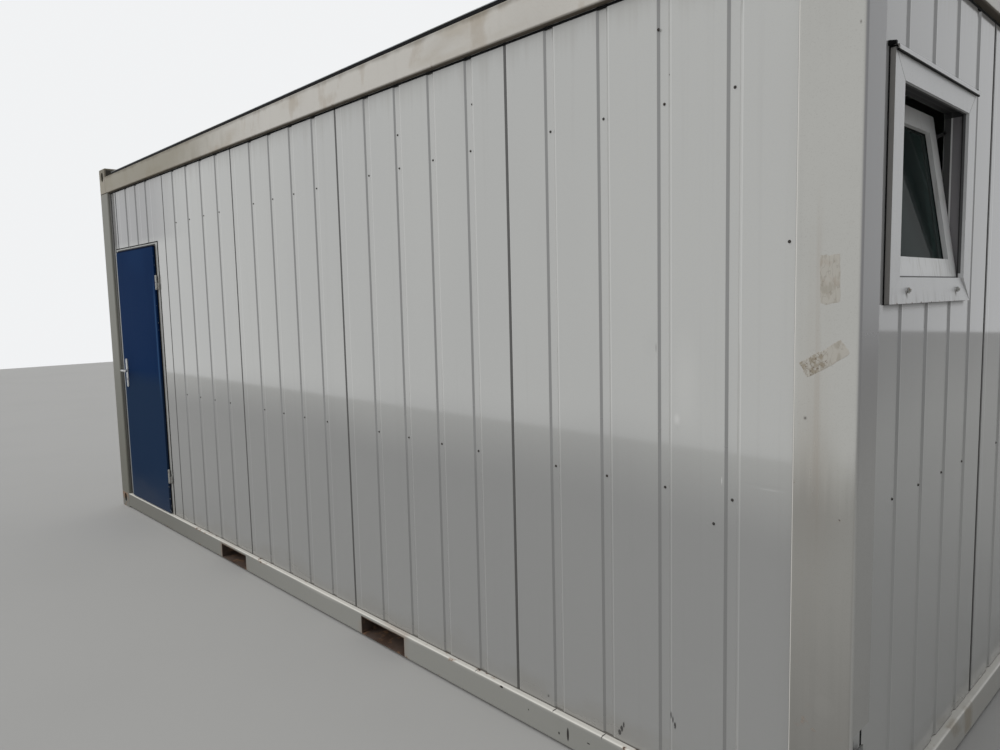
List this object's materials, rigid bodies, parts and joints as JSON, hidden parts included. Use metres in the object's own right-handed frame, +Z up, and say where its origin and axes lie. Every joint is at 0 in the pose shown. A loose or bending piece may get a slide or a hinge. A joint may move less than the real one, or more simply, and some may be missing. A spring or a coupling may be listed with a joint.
{
  "type": "portable site cabin",
  "caption": "Steel portable site cabin with grooved sandwich walls, a hinged side door, a tilted end window, fork pockets, corner castings and a low ridged roof.",
  "frame": {"origin": "middle of the footprint, on the plane of the four bottom castings' undersides", "axes": "+X along the length, to the end wall with the window; +Z up; the long wall with the door faces -Y; +Y to the plain rear wall"},
  "size_m": [6.055, 2.4885, 2.8],
  "materials": {
    "frame_paint": "off-white gloss paint, dirty and chipped",
    "wall_paint": "light grey satin coil coating",
    "tunnel_steel": "worn paint over brown rust",
    "under_sheet": "dull zinc coating",
    "deck_board": "grey floor covering on board",
    "ceiling_board": "white laminated board",
    "roof_sheet": "dull zinc coating",
    "gasket_rubber": "black rubber strip",
    "door_blue": "deep blue satin paint",
    "door_frame_paint": "light grey satin paint",
    "threshold_metal": "scuffed mill finish",
    "hinge_metal": "zinc-plated steel",
    "lever_metal": "satin steel",
    "casing_paint": "white satin paint",
    "drip_metal": "dark grey paint",
    "window_plastic": "white window profile",
    "window_glass": "frosted sealed unit"
  },
  "bodies": {
    "cabin": {"bottom_corner_castings": "frame_paint", "top_corner_castings": "frame_paint", "front_floor_rail": "frame_paint", "rear_floor_rail": "frame_paint", "left_floor_rail": "frame_paint", "right_floor_rail": "frame_paint", "fork_pocket_tunnels": "tunnel_steel", "floor_cross_members": "tunnel_steel", "underfloor_sheet": "under_sheet", "floor_deck": "deck_board", "front_left_post": "frame_paint", "front_right_post": "frame_paint", "rear_left_post": "frame_paint", "rear_right_post": "frame_paint", "front_wall_panels": "wall_paint", "door_side_panel_left": "wall_paint", "door_head_panel": "wall_paint", "door_side_panel_right": "wall_paint", "rear_wall_panels": "wall_paint", "left_end_panels": "wall_paint", "right_end_panel_plain": "wall_paint", "right_end_panel_window": "wall_paint", "front_roof_rail": "frame_paint", "rear_roof_rail": "frame_paint", "left_roof_rail": "frame_paint", "right_roof_rail": "frame_paint", "roof_cross_beams": "under_sheet", "ceiling_lining": "ceiling_board", "roof_edge_gasket": "gasket_rubber", "roof_sheet": "roof_sheet", "door_frame": "door_frame_paint", "door_threshold": "threshold_metal", "door_hinges_frame_half": "hinge_metal", "window_casing": "casing_paint", "window_sill_plate": "casing_paint", "window_drip_flashing": "drip_metal", "window_frame": "window_plastic", "window_sash": "window_plastic", "window_glass": "window_glass"},
    "door": {"door_leaf": "door_blue", "door_hinges_leaf_half": "hinge_metal", "door_handle_plates": "lever_metal"},
    "levers": {"door_levers": "lever_metal"}
  },
  "joints": [
    {"name": "door_swing", "type": "hinge", "parent": "cabin", "child": "door", "pos_m": [-1.922, -1.205, 1.1305], "axis": [0, 0, 1], "range_deg": [0, 110]},
    {"name": "lever_turn", "type": "hinge", "parent": "door", "child": "levers", "pos_m": [-2.675, -1.1855, 1.172], "axis": [0, 1, 0], "range_deg": [0, 40], "stiffness_Nm_per_rad": 1.2, "springref_deg": -28.65}
  ]
}
